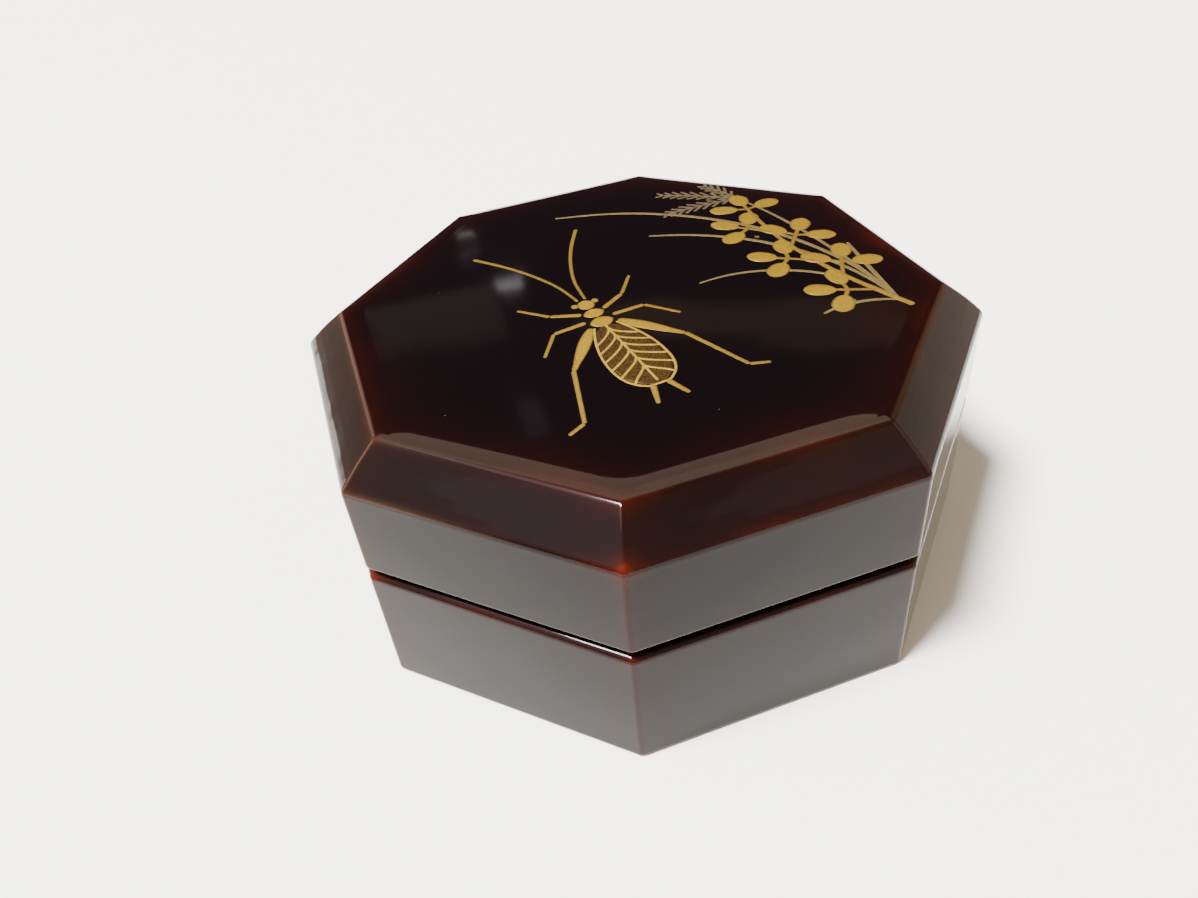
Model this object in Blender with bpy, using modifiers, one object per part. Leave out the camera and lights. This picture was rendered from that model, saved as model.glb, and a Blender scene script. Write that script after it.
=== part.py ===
"""Octagonal lacquered incense box with a lift-off lid, standing closed.

Metres, +Z up. The origin is the centre of the underside, and two of the eight
flat sides face -Y and +Y. Each piece starts as an octagonal prism, and its end
faces are carried on, step by step, along the profile of the real piece.
"""
import math

import bmesh
import bpy
from mathutils import Matrix, Vector

# Driving dimensions: the outside
SIDES = 8
ACROSS_FLATS = 0.0720
BOX_RIM_HEIGHT = 0.0159
SEAM_GAP = 0.00035
LID_SKIRT_HEIGHT = 0.0105
CHAMFER_INSET = 0.0044
CHAMFER_RISE = 0.0039
RIM_ROLL_WIDTH = 0.0026
RIM_ROLL_RISE = 0.00045
CROWN_RISE = 0.0006

# Driving dimensions: the hollow and the fit of the lid over the tongue
LID_WALL = 0.0026
LID_TOP_THICKNESS = 0.0030
BOX_FLOOR_THICKNESS = 0.0035
TONGUE_WALL = 0.0014
TONGUE_RISE = 0.0042
FIT_CLEARANCE = 0.0003

# Rounding radii of the edges
RIM_LIP_RADIUS = 0.0009
FOOT_RADIUS = 0.0005
CORNER_RADIUS = 0.0008
LID_EDGE_RADIUS = 0.0003
SHOULDER_RADIUS = 0.0006
PLATEAU_RADIUS = 0.0005
TONGUE_RADIUS = 0.0004
HOLLOW_RADIUS = 0.0010
ROUNDING_SEGMENTS = 3

# Rings that the crowned top is drawn with
ROLL_RINGS = 3
DOME_RINGS = 4
DOME_CAP_SHARE = 0.12

# Finish, as linear colour
LACQUER_COLOUR = (0.030, 0.008, 0.006, 1.0)
LACQUER_ROUGHNESS = 0.12

# Places worked out from the sizes above
APOTHEM = ACROSS_FLATS / 2
LID_BOTTOM = BOX_RIM_HEIGHT + SEAM_GAP
SHOULDER_HEIGHT = LID_BOTTOM + LID_SKIRT_HEIGHT
PLATEAU_HEIGHT = SHOULDER_HEIGHT + CHAMFER_RISE
PLATEAU_APOTHEM = APOTHEM - CHAMFER_INSET
CEILING_HEIGHT = PLATEAU_HEIGHT - LID_TOP_THICKNESS
CORNER_TURN = 2 * math.pi / SIDES
CHAMFER_SLOPE = math.atan2(CHAMFER_RISE, CHAMFER_INSET)
SHOULDER_TURN = math.pi / 2 - CHAMFER_SLOPE


def clear_scene():
    """Remove what the opened file holds."""
    for thing in list(bpy.data.objects):
        bpy.data.objects.remove(thing, do_unlink=True)


def rounding_width(radius, turn):
    """Width of a bevel that gives the radius on an edge whose faces turn by this angle."""
    return radius * math.tan(turn / 2)


def lacquer(name):
    """Translucent dark lacquer over a red ground, polished to a gloss."""
    material = bpy.data.materials.new(name)
    material.use_nodes = True
    shader = material.node_tree.nodes["Principled BSDF"]
    shader.inputs["Base Color"].default_value = LACQUER_COLOUR
    shader.inputs["Roughness"].default_value = LACQUER_ROUGHNESS
    shader.inputs["Metallic"].default_value = 0.0
    return material


class Turning:
    """An octagonal prism whose end faces are carried on along a profile."""

    def __init__(self, bottom, top, corner_radius):
        self.bm = bmesh.new()
        self.width = self.bm.edges.layers.float.new("bevel_weight_edge")
        half_turn = Matrix.Rotation(CORNER_TURN / 2, 4, "Z")
        middle = Matrix.Translation((0, 0, (bottom + top) / 2))
        corner = APOTHEM / math.cos(CORNER_TURN / 2)
        bmesh.ops.create_cone(
            self.bm, cap_ends=True, cap_tris=False, segments=SIDES,
            radius1=corner, radius2=corner, depth=top - bottom,
            matrix=middle @ half_turn)
        self.upper = max(self.bm.faces, key=lambda face: face.calc_center_median().z)
        self.lower = min(self.bm.faces, key=lambda face: face.calc_center_median().z)
        self.mark_corners(self.upper, corner_radius)

    def mark_corners(self, cap, radius):
        """Round the edges that run from the cap's corners to the ring before it."""
        width = rounding_width(radius, CORNER_TURN)
        for corner in cap.verts:
            for edge in corner.link_edges:
                if edge not in cap.edges:
                    edge[self.width] = width

    def step(self, cap, inset, rise, edge_width=0.0, corner_radius=0.0):
        """Round the cap's rim by edge_width, then carry the cap inwards and along Z."""
        for edge in cap.edges:
            edge[self.width] = edge_width
        if inset:
            bmesh.ops.inset_region(self.bm, faces=[cap], thickness=inset, use_even_offset=True)
        else:
            cap = bmesh.ops.extrude_discrete_faces(self.bm, faces=[cap])["faces"][0]
        bmesh.ops.translate(self.bm, verts=cap.verts, vec=Vector((0, 0, rise)))
        for edge in cap.edges:
            edge[self.width] = 0.0
        self.mark_corners(cap, corner_radius)
        return cap

    def finish(self, cap, edge_width, name, collection):
        """Round the last rim, and give the piece its object, its bevel and its finish."""
        for edge in cap.edges:
            edge[self.width] = edge_width
        widest = max(edge[self.width] for edge in self.bm.edges)
        for edge in self.bm.edges:
            edge[self.width] /= widest
        mesh = bpy.data.meshes.new(name)
        self.bm.normal_update()
        self.bm.to_mesh(mesh)
        self.bm.free()
        mesh.materials.append(lacquer(name + "_lacquer"))
        piece = bpy.data.objects.new(name, mesh)
        collection.objects.link(piece)
        rounding = piece.modifiers.new("Rounded edges", "BEVEL")
        rounding.limit_method = "WEIGHT"
        rounding.offset_type = "OFFSET"
        rounding.width = widest
        rounding.segments = ROUNDING_SEGMENTS
        mesh.shade_smooth()
        mesh.set_sharp_from_angle(angle=math.radians(25))
        return piece


def crown_rings():
    """Inset and rise of each ring of the crowned top, from the plateau's edge inwards.

    The rim rolls up along a quarter wave, and a flat dome carries on to the middle.
    """
    rings = []
    for ring in range(1, ROLL_RINGS + 1):
        share = ring / ROLL_RINGS
        rings.append((RIM_ROLL_WIDTH * share, RIM_ROLL_RISE * math.sin(share * math.pi / 2)))
    dome_reach = PLATEAU_APOTHEM - RIM_ROLL_WIDTH
    for ring in range(1, DOME_RINGS + 1):
        share = (1 - DOME_CAP_SHARE) * ring / DOME_RINGS
        height = CROWN_RISE * (1 - (1 - share) ** 2) / (1 - DOME_CAP_SHARE ** 2)
        rings.append((RIM_ROLL_WIDTH + dome_reach * share, RIM_ROLL_RISE + height))
    return rings


def make_box(collection):
    """Lower box: straight walls, a rounded rim, and a tongue inside it that the lid drops over."""
    ledge = LID_WALL + FIT_CLEARANCE
    right_angle = math.pi / 2
    box = Turning(0, BOX_RIM_HEIGHT, CORNER_RADIUS)
    for edge in box.lower.edges:
        edge[box.width] = rounding_width(FOOT_RADIUS, right_angle)
    cap = box.step(box.upper, ledge, 0, rounding_width(RIM_LIP_RADIUS, right_angle))
    cap = box.step(cap, 0, TONGUE_RISE, 0, CORNER_RADIUS)
    cap = box.step(cap, TONGUE_WALL, 0, rounding_width(TONGUE_RADIUS, right_angle))
    depth = BOX_RIM_HEIGHT + TONGUE_RISE - BOX_FLOOR_THICKNESS
    cap = box.step(cap, 0, -depth, rounding_width(TONGUE_RADIUS, right_angle), CORNER_RADIUS)
    return box.finish(cap, rounding_width(HOLLOW_RADIUS, right_angle), "box", collection)


def make_lid(collection):
    """Lid: a skirt flush with the box, a broad chamfer, a crowned top and a hollow of one wall."""
    right_angle = math.pi / 2
    lid = Turning(LID_BOTTOM, SHOULDER_HEIGHT, CORNER_RADIUS)

    cap = lid.step(lid.upper, CHAMFER_INSET, CHAMFER_RISE,
                   rounding_width(SHOULDER_RADIUS, SHOULDER_TURN), CORNER_RADIUS)
    inset, rise = 0.0, 0.0
    edge_width = rounding_width(PLATEAU_RADIUS, CHAMFER_SLOPE)
    for ring_inset, ring_rise in crown_rings():
        cap = lid.step(cap, ring_inset - inset, ring_rise - rise, edge_width)
        inset, rise = ring_inset, ring_rise
        edge_width = 0.0

    slope_drop = LID_WALL * (1 - math.sin(CHAMFER_SLOPE)) / math.cos(CHAMFER_SLOPE)
    slope_start = SHOULDER_HEIGHT - slope_drop
    slope_rise = CEILING_HEIGHT - slope_start
    slope_inset = slope_rise / math.tan(CHAMFER_SLOPE)
    lower_edge = rounding_width(LID_EDGE_RADIUS, right_angle)
    cap = lid.step(lid.lower, LID_WALL, 0, lower_edge)
    cap = lid.step(cap, 0, slope_start - LID_BOTTOM, lower_edge, CORNER_RADIUS)
    cap = lid.step(cap, slope_inset, slope_rise,
                   rounding_width(HOLLOW_RADIUS, SHOULDER_TURN), CORNER_RADIUS)
    return lid.finish(cap, rounding_width(HOLLOW_RADIUS, CHAMFER_SLOPE), "lid", collection)


clear_scene()
parts = bpy.data.collections.new("incense_box")
bpy.context.scene.collection.children.link(parts)
make_box(parts)
make_lid(parts)
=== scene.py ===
"""Looks of an octagonal lacquered incense box with a sprinkled-gold picture on its lid."""
import math

import bmesh
import bpy
from mathutils import Matrix, Vector


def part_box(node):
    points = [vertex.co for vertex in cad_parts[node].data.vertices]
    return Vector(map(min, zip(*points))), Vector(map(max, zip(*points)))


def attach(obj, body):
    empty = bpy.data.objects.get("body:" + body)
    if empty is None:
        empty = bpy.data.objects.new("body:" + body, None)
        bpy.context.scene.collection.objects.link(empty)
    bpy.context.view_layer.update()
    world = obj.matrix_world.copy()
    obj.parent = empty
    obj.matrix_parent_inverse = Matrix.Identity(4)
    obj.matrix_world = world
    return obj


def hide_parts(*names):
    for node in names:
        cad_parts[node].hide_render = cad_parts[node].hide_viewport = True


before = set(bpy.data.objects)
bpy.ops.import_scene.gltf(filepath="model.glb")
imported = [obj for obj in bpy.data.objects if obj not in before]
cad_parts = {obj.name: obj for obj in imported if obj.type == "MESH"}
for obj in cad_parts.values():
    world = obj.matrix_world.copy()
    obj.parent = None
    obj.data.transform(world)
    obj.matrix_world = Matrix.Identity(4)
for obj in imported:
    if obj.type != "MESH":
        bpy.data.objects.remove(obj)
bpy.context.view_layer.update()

MM = 0.001

# The camera.
# A phone held close over the front left of the box, turned a little clockwise in the hand.
# Its place and lens come from the box's own corners in the photograph.
CAMERA_PLACE = Vector((-30.2, -87.9, 84.0)) * MM
CAMERA_HEADING = math.radians(15.46)
CAMERA_PITCH_DOWN = math.radians(38.79)
CAMERA_ROLL = math.radians(-6.34)
CAMERA_LENS = 28.12
CAMERA_SENSOR = 36.0

camera_data = bpy.data.cameras.new("camera")
camera_data.lens = CAMERA_LENS
camera_data.sensor_width = CAMERA_SENSOR
camera_data.clip_start = 5 * MM
camera = bpy.data.objects.new("camera", camera_data)
bpy.context.scene.collection.objects.link(camera)
camera.matrix_world = (
    Matrix.Translation(CAMERA_PLACE)
    @ Matrix.Rotation(-CAMERA_HEADING, 4, "Z")
    @ Matrix.Rotation(math.pi / 2 - CAMERA_PITCH_DOWN, 4, "X")
    @ Matrix.Rotation(CAMERA_ROLL, 4, "Z"))
bpy.context.scene.camera = camera


def linear(hex_colour):
    """An sRGB hex colour as linear light, with a full alpha."""
    parts = [int(hex_colour[i:i + 2], 16) / 255 for i in (1, 3, 5)]
    return [p / 12.92 if p <= 0.04045 else ((p + 0.055) / 1.055) ** 2.4 for p in parts] + [1.0]


def add(tree, kind, inputs=(), **settings):
    """A node with its settings and links; a kind in capitals is the operation of a Math node.

    Inputs are given in order, or by socket. A node given as an input feeds its first output.
    """
    if kind.isupper():
        kind, settings["operation"] = "ShaderNodeMath", kind
    node = tree.nodes.new(kind)
    for name, value in settings.items():
        setattr(node, name, value)
    for key, value in inputs.items() if isinstance(inputs, dict) else enumerate(inputs):
        if isinstance(value, bpy.types.Node):
            value = next(s for s in value.outputs if s.enabled)
        if isinstance(value, bpy.types.NodeSocket):
            tree.links.new(value, node.inputs[key])
        else:
            node.inputs[key].default_value = value
    return node


def direction(heading, elevation):
    """A unit vector; heading in degrees from +Y towards +X, elevation from the floor."""
    turn, rise = math.radians(heading), math.radians(elevation)
    return Vector((math.sin(turn) * math.cos(rise), math.cos(turn) * math.cos(rise), math.sin(rise)))


# The light and the floor.
# One lamp high on the left lights the matte white paper of the floor. The lamp, windows, walls and
# ceiling that the polish mirrors are cards which only reflections see, in a dim room.
LIGHT_DISTANCE = 6.0
LAMP_DIRECTION = (-97, 65.5)
LAMP_SPREAD = (17, 16)
LAMP_RADIANCE = 287
MIRRORED = (
    ("lamp_in_the_lacquer", "ELLIPSE", (-98, 66.5), (17, 12), 290, "#fbfbff"),
    ("bright_ceiling", "ELLIPSE", (18, 63), (72, 27), 4.5, "#ffe6cc"),
    ("ceiling_beside", "ELLIPSE", (20, 74), (70, 22), 1.3, "#ffd8b8"),
    ("lamp_glow", "ELLIPSE", (-86, 62), (40, 16), 4.5, "#fff0f4"),
    ("left_window", "ELLIPSE", (-24, 20), (14, 16), 2.6, "#ffd4c2"),
    ("behind_on_the_left", "ELLIPSE", (-120, 46), (44, 30), 1.1, "#d4ccf0"),
    ("behind_on_the_right", "ELLIPSE", (140, 45), (22, 16), 0.8, "#d0d8c4"),
    ("doorway", "ELLIPSE", (67, 26), (16, 20), 1.0, "#ffc8a0"),
    ("far_right_wall", "ELLIPSE", (112, 32), (34, 26), 3.0, "#ffccb0"),
    ("window_spot", "RECTANGLE", (9.4, 27.5), (1.7, 1.4), 3.6, "#fbfbff"),
    ("window_streak", "RECTANGLE", (7.0, 22.8), (1.2, 1.2), 1.6, "#fff0ec"),
    ("low_streak", "RECTANGLE", (8.7, 39.8), (1.6, 3.6), 0.55, "#e8dcf2"),
    ("pale_wall", "RECTANGLE", (3.2, 29.4), (8.6, 4.6), 0.3, "#fff4da"),
    ("shelf", "ELLIPSE", (28.0, 32.8), (24, 3.6), 0.44, "#ffcf90"))
ROOM_STRENGTH = 2.4
ROOM_DIM_DIRECTION = (18, 32)


def area_light(name, shape, heading_elevation, spread, radiance, colour, mirrored):
    """A flat light that faces the box and spans these two angles; a mirrored one lights nothing."""
    data = bpy.data.lights.new(name, "AREA")
    data.shape = shape
    data.size, data.size_y = (2 * LIGHT_DISTANCE * math.tan(math.radians(s) / 2) for s in spread)
    filled = math.pi / 4 if shape == "ELLIPSE" else 1.0
    data.energy = radiance * math.pi * data.size * data.size_y * filled
    data.color = linear(colour)[:3]
    light = bpy.data.objects.new(name, data)
    bpy.context.scene.collection.objects.link(light)
    light.location = direction(*heading_elevation) * LIGHT_DISTANCE
    light.rotation_euler = light.location.to_track_quat("Z", "Y").to_euler()
    light.visible_diffuse = not mirrored
    light.visible_glossy = mirrored
    light.visible_camera = False


area_light("lamp", "ELLIPSE", LAMP_DIRECTION, LAMP_SPREAD, LAMP_RADIANCE, "#fbfbff", False)
for given in MIRRORED:
    area_light(*given, True)

world = bpy.data.worlds.new("room")
bpy.context.scene.world = world
world.use_nodes = True
room = world.node_tree
towards = add(room, "ShaderNodeTexCoord").outputs["Object"]
axes = add(room, "ShaderNodeSeparateXYZ", {0: towards}).outputs


def room_ramp(stops):
    """A colour that changes from the left of the room to its right; stops are (X, colour)."""
    across = add(room, "MULTIPLY_ADD", (axes["X"], 0.5, 0.5))
    ramp = add(room, "ShaderNodeValToRGB", {"Fac": across})
    for _ in stops[2:]:
        ramp.color_ramp.elements.new(0.5)
    for element, (x, colour) in zip(ramp.color_ramp.elements, stops):
        element.position = x / 2 + 0.5
        element.color = linear(colour)
    return ramp.outputs["Color"]


def room_patch(shade, measure, start, end, colour):
    """Blend this colour in where the measure rises from start to end."""
    share = add(room, "ShaderNodeMapRange", {"Value": measure, "From Min": start, "From Max": end},
                interpolation_type="SMOOTHSTEP").outputs["Result"]
    return add(room, "ShaderNodeMix", {0: share, 6: shade, 7: colour}, data_type="RGBA").outputs[2]


facing = add(room, "ShaderNodeVectorMath", {0: towards, 1: direction(*ROOM_DIM_DIRECTION)},
             operation="DOT_PRODUCT").outputs["Value"]
upper = room_ramp(((-0.7, "#eae0d8"), (-0.15, "#948b80"), (0.25, "#8a7e52")))
upper = room_patch(upper, axes["Y"], -0.25, -0.65, linear("#aca098"))
shade = room_ramp(((-0.5, "#9a9081"), (0.9, "#d0c0b0")))
shade = room_patch(shade, axes["Z"], 0.2, 0.42, upper)
dim = room_patch(linear("#2d272b"), axes["Z"], 0.4, 0.66, linear("#463c3a"))
shade = room_patch(shade, facing, 0.62, 0.86, dim)
shade = room_patch(shade, axes["Z"], 0.84, 0.93, linear("#7c6c62"))
room.links.new(shade, room.nodes["Background"].inputs["Color"])
room.nodes["Background"].inputs["Strength"].default_value = ROOM_STRENGTH

FLOOR_SIZE = 3.0
FLOOR_LEFT = 330 * MM  # The lid's left chamfer mirrors this edge of the paper.
floor_mesh = bpy.data.meshes.new("floor")
floor_bm = bmesh.new()
bmesh.ops.create_grid(floor_bm, x_segments=1, y_segments=1, size=FLOOR_SIZE / 2)
bmesh.ops.translate(floor_bm, verts=floor_bm.verts, vec=(FLOOR_SIZE / 2 - FLOOR_LEFT, 0, 0))
floor_bm.to_mesh(floor_mesh)
floor_bm.free()
floor = bpy.data.objects.new("floor", floor_mesh)
bpy.context.scene.collection.objects.link(floor)
floor_finish = bpy.data.materials.new("matte_white_paper")
floor_finish.use_nodes = True
floor_shader = floor_finish.node_tree.nodes["Principled BSDF"]
floor_shader.inputs["Base Color"].default_value = linear("#f2f0e7")
floor_shader.inputs["Roughness"].default_value = 0.9
floor_shader.inputs["Specular IOR Level"].default_value = 0.2
floor_mesh.materials.append(floor_finish)

# The lower box.
# Thin boards of wood joined to an octagon round a flat bottom, grounded, lacquered red and then
# covered with translucent dark lacquer. A tongue stands inside the rim for the lid.
box_low, box_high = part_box("box")
lid_low, lid_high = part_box("lid")
HALF_WIDTH = (box_high.x - box_low.x) / 2
SIDES = 8
CORNER_RADIUS = 0.8 * MM
LID_WALL = 2.6 * MM
FIT_CLEARANCE = 0.3 * MM
TONGUE_WALL = 1.4 * MM
TONGUE_RISE = 4.2 * MM
BOX_FLOOR_THICKNESS = 3.5 * MM
RIM_LIP_SLOPE = 0.5
RIM_LIP_RADIUS = 0.7 * MM
RIM_LIP_DROP = 0.9 * MM
RIM_SWELL = 0.15 * MM
FOOT_RADIUS = 0.5 * MM
TONGUE_RADIUS = 0.4 * MM
HOLLOW_RADIUS = 1.0 * MM
ARC_STEP = math.radians(7)
FINEST_STRIDE = 0.15 * MM
STRIDE_GROWTH = 1.35
SIDE_STEPS = 14
CORNER_STEPS = 8
WELD_DISTANCE = 0.004 * MM
EDGE_REACH = 1.4 * MM
CORNER_REACH = 1.1 * MM
LACQUER_MIRROR = 0.128
WORN_CORNER = Vector((-14.7, -35.4, 27.1)) * MM


def round_profile(corners):
    """Points (place, corner radius in plan) of a profile with rounded corners, and its worn edges.

    corners holds (apothem, height, rounding, corner radius in plan, how far the edge is rubbed).
    """
    points = []
    edges = []
    for i, (a, z, rounding, plan, rubbed) in enumerate(corners):
        here = Vector((a, z))
        if rubbed:
            edges.append((here, rubbed))
        if i in (0, len(corners) - 1) or not rounding:
            points.append((here, plan))
            continue
        before = (Vector(corners[i - 1][:2]) - here).normalized()
        after = (Vector(corners[i + 1][:2]) - here).normalized()
        opening = before.angle(after)
        tangent = rounding / math.tan(opening / 2)
        centre = here + (before + after).normalized() * rounding / math.sin(opening / 2)
        first = here + before * tangent - centre
        turn = first.angle_signed(here + after * tangent - centre)
        steps = max(3, math.ceil(abs(turn) / ARC_STEP))
        for k in range(steps + 1):
            spun = first.copy()
            spun.rotate(Matrix.Rotation(-turn * k / steps, 2))
            points.append((centre + spun, plan))
    return points, edges


def spread_points(points, edges):
    """Fill long straight stretches; each point is (apothem, height, plan radius, edge glow)."""
    filled = [points[0]]
    for (start, plan_a), (end, plan_b) in zip(points, points[1:]):
        length = (end - start).length
        stops = []
        reach, stride = 0.0, FINEST_STRIDE
        while reach + stride < length / 2:
            reach += stride
            stride *= STRIDE_GROWTH
            stops.append(reach / length)
        stops += [1 - s for s in reversed(stops)]
        for s in stops:
            filled.append((start.lerp(end, s), plan_a + (plan_b - plan_a) * s))
        filled.append((end, plan_b))
    return [(p.x, p.y, plan, edge_glow(p, edges)) for p, plan in filled]


def edge_glow(place, edges):
    """How far the red shows through at a point of the profile, from 0 to 1."""
    glow = sum(rubbed * math.exp(-(place - edge).length / EDGE_REACH) for edge, rubbed in edges)
    return min(1.0, glow)


def octagonal_turning():
    """A tree that carries a profile round an octagon with rounded corners.

    It leaves two values on each point for the lacquer to read: how near it is to a rubbed edge
    of the profile, and how near to a corner of the octagon, both from 0 to 1.
    """
    tree = bpy.data.node_groups.new("octagonal_turning", "GeometryNodeTree")
    for label, kind, value in (
            ("Profile", "NodeSocketGeometry", None), ("Sides", "NodeSocketInt", SIDES),
            ("Side steps", "NodeSocketInt", SIDE_STEPS), ("Corner steps", "NodeSocketInt", CORNER_STEPS),
            ("Sharp radius", "NodeSocketFloat", CORNER_RADIUS),
            ("Corner reach", "NodeSocketFloat", CORNER_REACH),
            ("Lacquer", "NodeSocketMaterial", None)):
        socket = tree.interface.new_socket(label, in_out="INPUT", socket_type=kind)
        if value is not None:
            socket.default_value = value
    tree.interface.new_socket("Piece", in_out="OUTPUT", socket_type="NodeSocketGeometry")
    given = add(tree, "NodeGroupInput").outputs

    rows = add(tree, "GeometryNodeAttributeDomainSize",
               {"Geometry": given["Profile"]}).outputs["Point Count"]
    sector_steps = add(tree, "MULTIPLY_ADD", (given["Side steps"], 2, given["Corner steps"]))
    columns = add(tree, "MULTIPLY_ADD", (sector_steps, given["Sides"], 1))
    grid = add(tree, "GeometryNodeMeshGrid", {"Vertices X": columns, "Vertices Y": rows})
    index = add(tree, "GeometryNodeInputIndex")
    middle = add(tree, "ADD", (index, 0.5))
    column = add(tree, "FLOOR", (add(tree, "DIVIDE", (middle, rows)),))
    row = add(tree, "SUBTRACT", (index, add(tree, "MULTIPLY", (column, rows))))

    position = add(tree, "GeometryNodeInputPosition")
    plan, glow = (add(tree, "GeometryNodeInputNamedAttribute", {"Name": label}, data_type="FLOAT")
                  for label in ("plan_radius", "edge_glow"))
    point, plan_radius, edge_glow_here = (
        add(tree, "GeometryNodeSampleIndex",
            {"Geometry": given["Profile"], "Value": value, "Index": row}, data_type=kind)
        for kind, value in (("FLOAT_VECTOR", position), ("FLOAT", plan), ("FLOAT", glow)))
    place = add(tree, "ShaderNodeSeparateXYZ", {"Vector": point}).outputs
    radius = add(tree, "MINIMUM", (plan_radius, place["X"]))

    sector_turn = add(tree, "DIVIDE", (2 * math.pi, given["Sides"]))
    middle = add(tree, "ADD", (column, 0.5))
    sector = add(tree, "FLOOR", (add(tree, "DIVIDE", (middle, sector_steps)),))
    step = add(tree, "SUBTRACT", (column, add(tree, "MULTIPLY", (sector, sector_steps))))
    past_side = add(tree, "SUBTRACT", (step, given["Side steps"]))
    to_corner = add(tree, "DIVIDE", (step, given["Side steps"]), use_clamp=True)
    round_corner = add(tree, "DIVIDE", (past_side, given["Corner steps"]), use_clamp=True)
    past_corner = add(tree, "SUBTRACT", (past_side, given["Corner steps"]))
    from_corner = add(tree, "DIVIDE", (past_corner, given["Side steps"]), use_clamp=True)
    eased_to = add(tree, "MULTIPLY", (to_corner, add(tree, "SUBTRACT", (2, to_corner))))
    eased_from = add(tree, "MULTIPLY", (from_corner, from_corner))
    inner = add(tree, "SUBTRACT", (place["X"], radius))
    half_turn = add(tree, "MULTIPLY", (sector_turn, 0.5))
    half_side = add(tree, "MULTIPLY", (inner, add(tree, "TANGENT", (half_turn,))))
    angle = add(tree, "MULTIPLY", (round_corner, sector_turn))
    walked_back = add(tree, "MULTIPLY", (half_side, eased_from))
    walked = add(tree, "MULTIPLY", (half_side, eased_to))
    x = add(tree, "MULTIPLY_ADD", (radius, add(tree, "COSINE", (angle,)), inner))
    y = add(tree, "MULTIPLY_ADD", (radius, add(tree, "SINE", (angle,)), walked))
    back_x = add(tree, "MULTIPLY", (walked_back, add(tree, "SINE", (sector_turn,))))
    back_y = add(tree, "MULTIPLY", (walked_back, add(tree, "COSINE", (sector_turn,))))
    x = add(tree, "SUBTRACT", (x, back_x))
    y = add(tree, "ADD", (y, back_y))
    flat = add(tree, "ShaderNodeCombineXYZ", {"X": x, "Y": y, "Z": place["Z"]})
    turned = add(tree, "ShaderNodeVectorRotate",
                 {"Vector": flat, "Angle": add(tree, "MULTIPLY", (sector, sector_turn))},
                 rotation_type="Z_AXIS")
    formed = add(tree, "GeometryNodeSetPosition", {"Geometry": grid.outputs["Mesh"], "Position": turned})

    along_side = add(tree, "ADD", (add(tree, "SUBTRACT", (1, eased_to)), eased_from))
    softer = add(tree, "SUBTRACT", (plan_radius, given["Sharp radius"]))
    softness = add(tree, "MAXIMUM", (softer, 0.0))
    off_middle = add(tree, "ABSOLUTE", (add(tree, "SUBTRACT", (round_corner, 0.5)),))
    crisp = add(tree, "MINIMUM", (radius, given["Sharp radius"]))
    round_part = add(tree, "MULTIPLY", (add(tree, "MULTIPLY", (off_middle, sector_turn)), crisp))
    flat_part = add(tree, "MULTIPLY_ADD", (half_side, along_side, softness))
    corner_distance = add(tree, "ADD", (flat_part, round_part))
    faded = add(tree, "DIVIDE", (add(tree, "MULTIPLY", (corner_distance, -1)), given["Corner reach"]))
    corner_glow = add(tree, "EXPONENT", (faded,))
    marked = formed
    for label, glow in (("edge_glow", edge_glow_here), ("corner_glow", corner_glow)):
        marked = add(tree, "GeometryNodeStoreNamedAttribute",
                     {"Geometry": marked, "Name": label, "Value": glow}, data_type="FLOAT")
    closed = add(tree, "GeometryNodeMergeByDistance", {"Geometry": marked, "Distance": WELD_DISTANCE})
    real = add(tree, "GeometryNodeRealizeInstances", {"Geometry": closed})
    smooth = add(tree, "GeometryNodeSetShadeSmooth", {"Geometry": real})
    dressed = add(tree, "GeometryNodeSetMaterial", {"Geometry": smooth, "Material": given["Lacquer"]})
    add(tree, "NodeGroupOutput", {"Piece": dressed})
    return tree


def made_by(tree, source, name, given):
    """Run a tree on an object with these named inputs, and keep only the plain mesh it makes."""
    maker = source.modifiers.new(tree.name, "NODES")
    maker.node_group = tree
    for socket in tree.interface.items_tree:
        if socket.in_out == "INPUT" and socket.name in given:
            maker[socket.identifier] = given[socket.name]
    bpy.context.view_layer.update()
    evaluated = source.evaluated_get(bpy.context.evaluated_depsgraph_get())
    mesh = bpy.data.meshes.new_from_object(evaluated)
    mesh.name = name
    piece = bpy.data.objects.new(name, mesh)
    bpy.context.scene.collection.objects.link(piece)
    source.modifiers.remove(maker)
    bpy.data.objects.remove(source)
    return piece


def turned_piece(name, points, tree, material):
    """The profile as a line of points in the XZ plane, carried round the octagon."""
    mesh = bpy.data.meshes.new(name + "_profile")
    mesh.from_pydata([(a, 0, z) for a, z, _, _ in points],
                     [(i, i + 1) for i in range(len(points) - 1)], [])
    for label, column in (("plan_radius", 2), ("edge_glow", 3)):
        layer = mesh.attributes.new(label, "FLOAT", "POINT")
        layer.data.foreach_set("value", [p[column] for p in points])
    source = bpy.data.objects.new(mesh.name, mesh)
    bpy.context.scene.collection.objects.link(source)
    return made_by(tree, source, name, {"Lacquer": material})


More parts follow.
